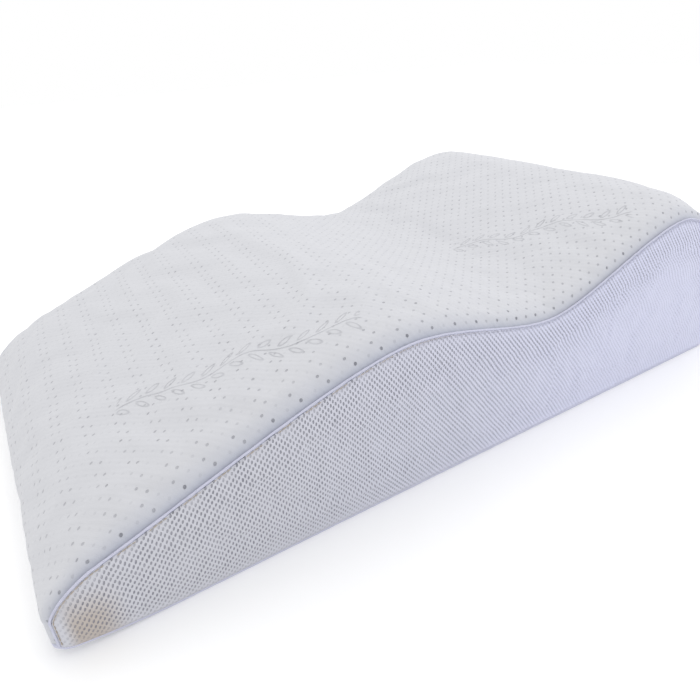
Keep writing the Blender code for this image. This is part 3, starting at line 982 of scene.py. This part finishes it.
@dataclass(frozen=True)
class Relaxing:
    """A short cloth simulation that lets a held sheet puff and crease a little."""

    pressure: float
    cap: float
    hold: float = 0.12
    slack: float = 0.012
    frames: int = 16
    tension: float = 12.0
    bending: float = 0.4
    mass: float = 0.2
    quality: int = 6
    rings: int = 5

    def freedom(self, mesh: bpy.types.Mesh) -> list[float]:
        """How freely each point may move: 0 at the sewn border, 1 a few rings of faces inside.

        Args:
            mesh: The open sheet.

        Returns:
            A share for each point.
        """
        bm = bmesh.new()
        bm.from_mesh(mesh)
        shares = [1.0] * len(bm.verts)
        ring = {vert for vert in bm.verts if vert.is_boundary}
        reached = set(ring)
        for step in range(self.rings):
            for vert in ring:
                shares[vert.index] = step / self.rings
            ring = {edge.other_vert(vert) for vert in ring for edge in vert.link_edges} - reached
            reached |= ring
        bm.free()
        return shares

    def run(self, made: bpy.types.Object) -> None:
        """Simulate, cap how far each point moves and keep the result in the mesh.

        Args:
            made: A sheet whose border stays where it is sewn.
        """
        mesh = made.data
        shares = self.freedom(mesh)
        rest = [vert.co.copy() for vert in mesh.vertices]
        group = made.vertex_groups.new(name="sewn")
        for index, share in enumerate(shares):
            group.add([index], 1.0 - share * (1.0 - self.hold), "REPLACE")
        step = made.modifiers.new("relax", "CLOTH")
        cloth = step.settings
        cloth.quality = self.quality
        cloth.mass = self.mass
        cloth.tension_stiffness = self.tension
        cloth.compression_stiffness = self.tension
        cloth.shear_stiffness = self.tension / 3
        cloth.bending_stiffness = self.bending
        cloth.vertex_group_mass = group.name
        cloth.pin_stiffness = 1.0
        cloth.shrink_min = -self.slack
        cloth.use_pressure = True
        cloth.uniform_pressure_force = self.pressure
        cloth.effector_weights.gravity = 0.0
        step.point_cache.frame_start = 1
        step.point_cache.frame_end = self.frames
        scene = bpy.context.scene
        for number in range(1, self.frames + 1):
            scene.frame_set(number)
        seen = made.evaluated_get(bpy.context.evaluated_depsgraph_get())
        moved = [vert.co.copy() for vert in seen.data.vertices]
        made.modifiers.remove(step)
        made.vertex_groups.remove(group)
        most = 0.0
        for vert, start, end, share in zip(mesh.vertices, rest, moved, shares):
            shift = (end - start) * share
            if shift.length > self.cap:
                shift *= self.cap / shift.length
            most = max(most, shift.length)
            vert.co = start + shift
        mesh.update()
        scene.frame_set(1)
        LOG.info("%s relaxed by up to %.2f mm", made.name, most * 1000)


def stitch_row(path: Track, length: float, gap: float, thick: float,
               outwards: Vector) -> bmesh.types.BMesh:
    """A row of lockstitches along a line.

    Args:
        path: The line that the row follows, on the cloth.
        length: Length of one stitch.
        gap: Cloth between two stitches.
        thick: The thread's diameter.
        outwards: The direction that the cloth faces.

    Returns:
        The new mesh data.
    """
    bm = bmesh.new()
    count = max(round(path.length / (length + gap)), 1)
    for index in range(count):
        middle = (index + 0.5) / count * path.length
        way = path.way(middle)
        side = way.cross(outwards).normalized()
        turn = Matrix((way, side, outwards)).transposed().to_4x4()
        place = Matrix.Translation(path.at(middle))
        grow = Matrix.Diagonal((length / 2, thick / 2, thick / 2, 1.0))
        bmesh.ops.create_uvsphere(bm, u_segments=7, v_segments=5, radius=1.0,
                                  matrix=place @ turn @ grow)
    map_cloth(bm, lambda spot, _: (spot.x + spot.z, spot.y + spot.z))
    bmesh.ops.recalc_face_normals(bm, faces=bm.faces)
    return bm


def uneven(point: Vector, scale: float, size: float) -> float:
    """Smooth unevenness of a made surface: a signed height that is the same on every run."""
    return noise.noise(Vector((point.x * scale, point.y * scale, point.z * scale))) * size


# ---- Inside of the pillow


@dataclass
class FoamInsert:
    """The moulded foam block and its thin jersey liner."""

    core_inset: float = 0.0044
    liner_inset: float = 0.0033
    liner_thickness: float = 0.0008
    cell: float = 0.007

    def build(self) -> None:
        """Build the block, the liner's sleeve and its two side panels."""
        self.build_core()
        self.build_sleeve()
        for side in Side:
            self.build_liner_side(side)

    def layer(self, inset: float, node: str, closed: bool) -> bmesh.types.BMesh:
        """A lofted layer inside the cover, round the whole section.

        Args:
            inset: How far inside the seam line the layer lies.
            node: The frame's node whose sides and foot it keeps to.
            closed: Whether the two ends are closed into a solid block.

        Returns:
            The new mesh data.
        """
        low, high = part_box(node)
        track = SHAPE.seam(inset, low.z)
        ring = Track(track.points + [track.points[0]])
        share_up = track.length / ring.length

        def place(around: float, across: float) -> Vector:
            """The point for a share of the section and a share of the width."""
            y = low.y + (high.y - low.y) * across
            spot = ring.at(around * ring.length).copy()
            climb = SHAPE.climb(spot.z, around * ring.length)
            rise = SHAPE.rise(y) * climb if around <= share_up else 0.0
            return SHAPE.settled(Vector((spot.x, y, spot.z + rise)))

        steps = round(ring.length / self.cell)
        rows = round((high.y - low.y) / self.cell)
        return welded(mapped_grid(steps, rows, (ring.length, high.y - low.y), place), closed)

    def build_core(self) -> None:
        """The moulded foam block."""
        bm = self.layer(self.core_inset, "foam_core", True)
        core = piece("foam_block", bm, Slot.FOAM, "foam_core")

    def build_sleeve(self) -> None:
        """The liner's sleeve, open at both long sides."""
        low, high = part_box("liner_sleeve")
        bm = self.layer(self.liner_inset, "liner_sleeve", False)
        around = SHAPE.seam(self.liner_inset, low.z)
        girth = around.length + (around.points[-1] - around.points[0]).length
        sleeve = piece("liner_sleeve_cloth", bm, Slot.JERSEY, "liner_sleeve")
        thickened(sleeve, self.liner_thickness)

    def build_liner_side(self, side: Side) -> None:
        """One side panel of the liner."""
        node = f"liner_{side.word}_side"
        low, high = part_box(node)
        outer = low.y if side is Side.FRONT else high.y
        panel = SidePanel(side, self.core_inset, low.z, outer, 0.0, cell=self.cell)
        made = piece(node + "_cloth", panel.sheet(), Slot.JERSEY, node)
        thickened(made, self.liner_thickness)
        panel.flat
        panel.area


# ---- Outer cover


@dataclass
class SidePanel:
    """A side panel cut to the wave outline, with a soft outward bulge."""

    side: Side
    inset: float
    foot: float
    outer: float
    bulge: float
    bulge_from: float = 0.0
    cell: float = 0.0035
    ruled_height: float = 0.10
    bulge_reach: float = 0.022
    bulge_power: float = 2.2
    ripple_scale: float = 28.0
    ripple_height: float = 0.0005

    @property
    def flat(self) -> tuple[float, float]:
        """Length and height of the cut."""
        track = SHAPE.seam(self.inset, self.foot)
        tops = [point.z for point in track.points]
        return (TALL_END - THIN_END - 2 * self.inset, max(tops) - self.foot)

    @property
    def area(self) -> float:
        """Flat area of the cut."""
        points = SHAPE.seam(self.inset, self.foot).points
        total = 0.0
        for here, after in zip(points, points[1:]):
            total += (after.x - here.x) * ((here.z + after.z) / 2 - self.foot)
        return total

    def sheet(self, window: tuple[float, float, float] | None = None) -> bmesh.types.BMesh:
        """The panel's mesh, ruled between the outline and the foot line.

        Args:
            window: Half length, lowest and highest Z of an opening, if there is one.

        Returns:
            The new mesh data, with the distance to the nearest seam stored at each point.
        """
        track = SHAPE.seam(self.inset, self.foot)
        upper = Track(track.points[1:-1])

        def place(share: float, height: float) -> Vector:
            """The flat point for a share of the seam and of the height."""
            top = upper.at(share * upper.length)
            return Vector((top.x, 0, self.foot)).lerp(top, height)

        columns, rows = round(upper.length / self.cell), round(self.ruled_height / self.cell)
        bm = mapped_grid(columns, rows, (1.0, 1.0), place)
        if window:
            self.cut_window(bm, *window)
        bmesh.ops.dissolve_degenerate(bm, dist=SAME_POINT, edges=bm.edges)
        map_cloth(bm, lambda spot, _: (spot.x - THIN_END, spot.z))
        self.puff(bm, track)
        return outward(bm, ACROSS * self.side.value)

    @staticmethod
    def cut_window(bm: bmesh.types.BMesh, half: float, low: float, high: float) -> None:
        """Cut a rectangular opening into the flat panel."""
        for spot, way in ((Vector((-half, 0, 0)), ALONG), (Vector((half, 0, 0)), ALONG),
                          (Vector((0, 0, low)), UP), (Vector((0, 0, high)), UP)):
            everything = bm.verts[:] + bm.edges[:] + bm.faces[:]
            bmesh.ops.bisect_plane(bm, geom=everything, plane_co=spot, plane_no=way)
        inside = []
        for face in bm.faces:
            centre = face.calc_center_median()
            if abs(centre.x) < half and low < centre.z < high:
                inside.append(face)
        bmesh.ops.delete(bm, geom=inside, context="FACES")

    def puff(self, bm: bmesh.types.BMesh, track: Track) -> None:
        """Store each point's distance to the seams, then push the panel out between them."""
        store = bm.verts.layers.float.new(RIM)
        line = track.points[::4]
        left, right = track.points[0].x, track.points[-1].x
        lowest = max(self.foot, self.bulge_from)
        for vert in bm.verts:
            spot = vert.co
            nearest = min((spot - point).length for point in line)
            rim = max(min(nearest, spot.z - self.foot, spot.x - left, right - spot.x), 0.0)
            vert[store] = rim
            swell = min(min(rim, max(spot.z - lowest, 0.0)) / self.bulge_reach, 1.0)
            puffed = self.bulge * (1 - (1 - swell) ** self.bulge_power)
            ripple = uneven(spot, self.ripple_scale, self.ripple_height) * swell
            y = self.outer + self.side.value * (puffed + ripple)
            vert.co = SHAPE.settled(Vector((spot.x, y, spot.z)))


@dataclass
class Cover:
    """The knitted top, the base, the two mesh sides and their edging."""

    top_thickness: float = 0.003
    mesh_thickness: float = 0.002
    base_thickness: float = 0.003
    tuck: float = 0.0016
    crease_depth: float = 0.0030
    crease_reach: float = 0.0060
    cell: float = 0.005
    under: float = 0.001
    top_pressure: float = 0.6
    top_cap: float = 0.0025
    ripple_scale: float = 22.0
    ripple_height: float = 0.0006
    ripple_reach: float = 0.02
    mesh_pressure: float = 0.5
    mesh_cap: float = 0.0015
    mesh_bulge: float = 0.0023
    mesh_inset: float = 0.0019
    zip_margin: float = 0.006
    welt_radius: float = 0.00085
    welt_inset: float = 0.0013
    welt_depth: float = 0.0005
    welt_pitch: float = 0.0012
    welt_foot: float = 0.0008
    welt_nub: tuple = (260.0, 0.16)
    welt_waver: tuple = (40.0, 0.10)
    nub_reach: float = 0.002
    binding_radius: float = 0.0015
    binding_corner: float = 0.004
    corner_steps: int = 8
    binding_step: float = 0.003
    binding_pitch: float = 0.0016
    binding_waver: tuple = (90.0, 0.10)
    stitch: float = 0.0032
    stitch_gap: float = 0.0001
    seam_thread: float = 0.0007
    thread_stand: float = 0.0009

    def build(self) -> None:
        """Build every piece of the outer cover."""
        self.build_top()
        self.build_base()
        for side in Side:
            self.build_side(side)
            self.build_welt(side)
            self.build_seam_stitches(side)
        self.build_binding()

    def build_top(self) -> None:
        """The knitted panel, which wraps both ends and rolls down into the welts."""
        track = SHAPE.seam(0.0, FOOT - self.under)
        reach = WIDTH / 2 - self.tuck
        middle = (FRONT_FACE + REAR_FACE) / 2

        def place(along: float, across: float) -> Vector:
            """The point for a share of the length and of the width."""
            share = 2 * across - 1
            eased = share * (1.5 - 0.5 * share * share)
            y = middle + reach * eased
            distance = along * track.length
            spot = track.at(distance)
            way = track.way(distance)
            outwards = Vector((-way.z, 0, way.x))
            climb = SHAPE.climb(spot.z, distance)
            inside = WIDTH / 2 - abs(y - middle) - self.tuck
            sink = max(1 - inside / self.crease_reach, 0.0) ** 2 * self.crease_depth
            spot = spot + UP * SHAPE.rise(y) * climb - outwards * sink
            spot.y = y
            ripple = uneven(spot, self.ripple_scale, self.ripple_height)
            spot += outwards * ripple * min(inside / self.ripple_reach, 1.0)
            return SHAPE.settled(spot)

        columns = round(track.length / self.cell)
        rows = round(WIDTH / self.cell)
        bm = mapped_grid(columns, rows, (track.length, WIDTH), place)
        map_cloth(bm, lambda spot, cloth: (cloth.x, spot.y - FRONT_FACE))
        top = piece("knitted_top_panel", outward(bm, UP), Slot.KNIT, "cover_top_panel")
        Relaxing(pressure=self.top_pressure, cap=self.top_cap).run(top)
        subdivided(top)
        thickened(top, self.top_thickness)

    def build_base(self) -> None:
        """The flat bottom panel."""
        low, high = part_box("cover_bottom_panel")

        def place(along: float, across: float) -> Vector:
            """The point for a share of the length and of the width."""
            x = low.x + (high.x - low.x) * along
            y = low.y + (high.y - low.y) * across
            return SHAPE.settled(Vector((x, y, low.z)))

        span = (high.x - low.x, high.y - low.y)
        columns, rows = round(span[0] / self.cell), round(span[1] / self.cell)
        bm = outward(mapped_grid(columns, rows, span, place), -UP)
        base = piece("base_panel", bm, Slot.BASE, "cover_bottom_panel")
        thickened(base, self.base_thickness)

    def build_side(self, side: Side) -> None:
        """One mesh side; the rear one has the zip's window."""
        window, start = None, 0.0
        if side is Side.REAR:
            window = ZIP.window
            start = window[2] + self.zip_margin
        panel = SidePanel(side, self.mesh_inset, FOOT - self.under, side.face, self.mesh_bulge,
                          start)
        made = piece(side.word + "_mesh_panel", panel.sheet(window), Slot.MESH,
                     side.word + "_mesh_side")
        if side is Side.FRONT:
            Relaxing(pressure=self.mesh_pressure, cap=self.mesh_cap).run(made)
        thickened(made, self.mesh_thickness)
        panel.flat
        panel.area

    @staticmethod
    def laid(inset: float, foot: float, y: float) -> Track:
        """The seam line, moved inwards, as it lies on one side of the pillow."""
        points = SHAPE.seam(inset, foot).points
        return Track([SHAPE.settled(Vector((point.x, y, point.z))) for point in points])

    def build_welt(self, side: Side) -> None:
        """The corded welt on one upper seam, with small uneven nubs."""
        y = side.face - side.value * self.welt_depth
        path = self.laid(self.welt_inset, FOOT - self.welt_foot, y)

        def radius(distance: float, angle: float) -> float:
            """The cord's radius at one spot."""
            reach = self.nub_reach
            spot = Vector((distance, math.cos(angle) * reach, math.sin(angle) * reach))
            nubs = 1 + uneven(spot, *self.welt_nub) + uneven(spot, *self.welt_waver)
            return self.welt_radius * nubs

        bm = tube(path, radius, ACROSS, self.welt_pitch)
        piece(side.word + "_welt_cord", bm, Slot.BINDING, side.word + "_welt")

    def build_seam_stitches(self, side: Side) -> None:
        """The row of stitches directly under one welt."""
        inset = self.welt_inset + self.welt_radius + self.seam_thread * 0.2
        path = self.laid(inset, FOOT + self.under, side.face + side.value * self.thread_stand)
        bm = stitch_row(path, self.stitch, self.stitch_gap, self.seam_thread,
                        ACROSS * side.value)
        piece(side.word + "_seam_stitches", bm, Slot.THREAD,
              side.word + "_seam_stitching")

    def build_binding(self) -> None:
        """The corded edging round the bottom seam."""
        low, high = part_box("bottom_binding")
        half, corner = self.binding_radius, self.binding_corner
        level = (low.z + high.z) / 2
        loop = []
        places = ((high.x, high.y, 1, 1), (low.x, high.y, -1, 1), (low.x, low.y, -1, -1),
                  (high.x, low.y, 1, -1))
        for index, (x, y, way_x, way_y) in enumerate(places):
            centre = Vector((x - way_x * (half + corner), y - way_y * (half + corner), level))
            for step in range(self.corner_steps + 1):
                angle = math.radians(90 * (index + step / self.corner_steps))
                loop.append(centre + Vector((math.cos(angle), math.sin(angle), 0)) * corner)
        loop.append(loop[0].copy())
        coarse = Track(loop)
        count = round(coarse.length / self.binding_step)
        path = Track([SHAPE.settled(coarse.at(coarse.length * index / count))
                      for index in range(count + 1)])

        def radius(distance: float, angle: float) -> float:
            """The edging's radius at one spot, the same where its ends meet."""
            turn = 2 * math.pi * distance / path.length
            spot = Vector((math.cos(turn), math.sin(turn), math.sin(angle) * 0.01))
            return half * (1 + uneven(spot, *self.binding_waver))

        bm = tube(path, radius, UP, self.binding_pitch)
        piece("base_binding_cord", bm, Slot.BINDING, "bottom_binding")


# ---- Zip and label


@dataclass
class Zip:
    """Tapes, coil rows, end stops, window stitches, slider and pull tab."""

    tooth_pitch: float = 0.0015
    tooth_thick: float = 0.0011
    stitch: float = 0.0024
    stitch_gap: float = 0.0007
    thread: float = 0.0007
    hem: float = 0.00335
    tape_faces: tuple = (90, 5)
    round_over: float = 0.00022
    flat_angle: float = 2.0
    sharp_angle: float = 20.0

    @property
    def window(self) -> tuple[float, float, float]:
        """Half length, lowest and highest Z of the opening in the mesh."""
        low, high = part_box("zip_stitching")
        return (high.x - self.hem, low.z + self.hem, high.z - self.hem)

    def build(self) -> None:
        """Build every piece of the zip."""
        for word, way in (("upper", 1), ("lower", -1)):
            self.build_tape(word)
            self.build_row(word, way)
            self.build_rounded("zip_top_stop_" + word, Slot.COIL, Body.PILLOW)
        self.build_rounded("zip_bottom_stop", Slot.COIL, Body.PILLOW)
        self.build_rounded("zip_slider", Slot.METAL, Body.SLIDER)
        self.build_rounded("zip_pull_tab", Slot.METAL, Body.PULL_TAB)
        self.build_stitches()

    def build_tape(self, word: str) -> None:
        """One flat woven tape, half behind the mesh."""
        node = "zip_tape_" + word
        low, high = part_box(node)
        span = (high.x - low.x, high.z - low.z)

        def place(along: float, across: float) -> Vector:
            """The point for a share of the length and of the height."""
            x = low.x + span[0] * along
            return Vector((x, high.y, low.z + span[1] * across))

        bm = outward(mapped_grid(*self.tape_faces, span, place), ACROSS)
        made = piece(node + "_cloth", bm, Slot.TAPE, node)
        thickened(made, high.y - low.y)

    def build_row(self, word: str, way: int) -> None:
        """One row of coil teeth, each a small rounded loop end."""
        node = "zip_row_" + word
        low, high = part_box(node)
        size = high - low
        count = round(size.x / self.tooth_pitch)
        centre = (low + high) / 2
        bm = bmesh.new()
        shift = 0.25 * way * size.x / count
        grow = Matrix.Diagonal((self.tooth_thick / 2, size.y / 2, size.z / 2, 1.0))
        for index in range(count):
            x = low.x + size.x * (index + 0.5) / count + shift
            spot = Matrix.Translation(Vector((x, centre.y, centre.z)))
            bmesh.ops.create_uvsphere(bm, u_segments=6, v_segments=5, radius=1.0,
                                      matrix=spot @ grow)
        piece(node + "_teeth", bm, Slot.COIL, node)

    def build_rounded(self, node: str, slot: Slot, body: Body) -> None:
        """A node's own shape with its edges rounded over."""
        bm = bmesh.new()
        bm.from_mesh(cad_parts[node].data)
        bmesh.ops.remove_doubles(bm, verts=bm.verts, dist=SAME_POINT)
        bmesh.ops.dissolve_limit(bm, angle_limit=math.radians(self.flat_angle), verts=bm.verts,
                                 edges=bm.edges)
        least = math.radians(self.sharp_angle)
        sharp = [edge for edge in bm.edges if edge.calc_face_angle(0.0) > least]
        bmesh.ops.bevel(bm, geom=sharp, offset=self.round_over, offset_type="OFFSET", segments=3,
                        profile=0.5, affect="EDGES", clamp_overlap=True, material=-1)
        bmesh.ops.triangulate(bm, faces=bm.faces)
        bmesh.ops.recalc_face_normals(bm, faces=bm.faces)
        piece(node + "_rounded", bm, slot, node, body)

    def build_stitches(self) -> None:
        """The row of stitches round the window."""
        low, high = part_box("zip_stitching")
        y = (low.y + high.y) / 2
        inset = (high.y - low.y) / 2
        corners = [Vector((x, y, z)) for x, z in (
            (low.x + inset, low.z + inset), (high.x - inset, low.z + inset),
            (high.x - inset, high.z - inset), (low.x + inset, high.z - inset))]
        bm = stitch_row(Track(corners + corners[:1]), self.stitch, self.stitch_gap, self.thread,
                        ACROSS)
        piece("zip_window_stitches", bm, Slot.THREAD, "zip_stitching")


ZIP = Zip()


@dataclass
class CareLabel:
    """A blank satin label, sewn at its foot and slightly curled at its free edge."""

    curl: float = 0.0022
    faces: tuple = (26, 34)

    def build(self) -> None:
        """Build the label."""
        low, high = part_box("care_label")
        span = (high.x - low.x, high.z - low.z)

        def place(along: float, up: float) -> Vector:
            """The point for a share of the width and of the height."""
            x = low.x + span[0] * along
            wave = math.sin(along * math.pi * 1.4 + 0.4) * 0.35 + 0.65
            return Vector((x, high.y + self.curl * up * up * wave, low.z + span[1] * up))

        bm = outward(mapped_grid(*self.faces, span, place), ACROSS)
        made = piece("blank_care_label", bm, Slot.LABEL, "care_label")
        thickened(made, high.y - low.y)


# ---- Studio


@dataclass
class Studio:
    """Pale floor, soft light and the camera."""

    eye: tuple = (-0.2748, -0.44385, 0.3019)
    yaw: float = 30.84
    pitch: float = 28.34
    roll: float = -3.06
    lens: float = 30.12
    sensor: float = 36.0
    floor_size: float = 8.0
    sky: float = 1.0
    key_power: float = 6.0
    fill_power: float = 3.0
    fill_tint: tuple = (0.86, 0.88, 1.0)

    def build(self) -> None:
        """Build the floor, the lights and the camera."""
        self.build_floor()
        self.build_lights()
        self.build_camera()

    def build_floor(self) -> None:
        """A wide floor at Z = 0."""
        bm = bmesh.new()
        bmesh.ops.create_grid(bm, x_segments=8, y_segments=8, size=self.floor_size / 2)
        mesh = bpy.data.meshes.new("floor")
        bm.to_mesh(mesh)
        bm.free()
        mesh.materials.append(Floor().make())
        floor = bpy.data.objects.new("floor", mesh)
        bpy.context.scene.collection.objects.link(floor)

    def build_lights(self) -> None:
        """An even pale sky, a broad light overhead and a weak cool one from the tall end."""
        world = bpy.data.worlds.new("studio_sky")
        world.use_nodes = True
        sky = world.node_tree.nodes["Background"]
        sky.inputs["Color"].default_value = (1.0, 1.0, 1.0, 1.0)
        sky.inputs["Strength"].default_value = self.sky
        scene = bpy.context.scene
        scene.world = world
        scene.view_settings.view_transform = "Standard"
        self.area_light("key", (0.35, 0.55, 1.5), 1.6, self.key_power)
        fill = self.area_light("fill", (1.3, -1.1, 0.5), 1.0, self.fill_power)
        fill.color = self.fill_tint

    @staticmethod
    def area_light(name: str, place: Sequence[float], size: float, power: float) -> bpy.types.Light:
        """One square light that faces the pillow.

        Args:
            name: The light's name.
            place: Where it hangs.
            size: Length of its side.
            power: Its power in watts.

        Returns:
            The light's data.
        """
        data = bpy.data.lights.new(name, "AREA")
        data.energy = power
        data.size = size
        made = bpy.data.objects.new(name, data)
        made.location = place
        made.rotation_euler = (-Vector(place)).to_track_quat("-Z", "Y").to_euler()
        bpy.context.scene.collection.objects.link(made)
        return data

    def build_camera(self) -> None:
        """The camera, turned by yaw, pitch and roll."""
        yaw, pitch, roll = (math.radians(angle) for angle in (self.yaw, self.pitch, self.roll))
        level = Vector((math.sin(yaw), math.cos(yaw), 0))
        right = Vector((math.cos(yaw), -math.sin(yaw), 0))
        ahead = level * math.cos(pitch) - UP * math.sin(pitch)
        top = UP * math.cos(pitch) + level * math.sin(pitch)
        across = right * math.cos(roll) + top * math.sin(roll)
        upwards = top * math.cos(roll) - right * math.sin(roll)
        data = bpy.data.cameras.new("camera")
        data.sensor_width = self.sensor
        data.lens = self.lens
        data.clip_start = 0.01
        camera = bpy.data.objects.new("camera", data)
        turn = Matrix((across, upwards, -ahead)).transposed().to_4x4()
        camera.matrix_world = Matrix.Translation(Vector(self.eye)) @ turn
        bpy.context.scene.collection.objects.link(camera)
        bpy.context.scene.camera = camera


def main() -> None:
    """Build every sub-assembly in order."""
    logging.basicConfig(level=logging.INFO, format="%(name)s %(message)s")
    for part in (Studio(), FoamInsert(), Cover(), ZIP, CareLabel()):
        part.build()
        LOG.info("built %s", type(part).__name__)


if __name__ == "__main__":
    main()
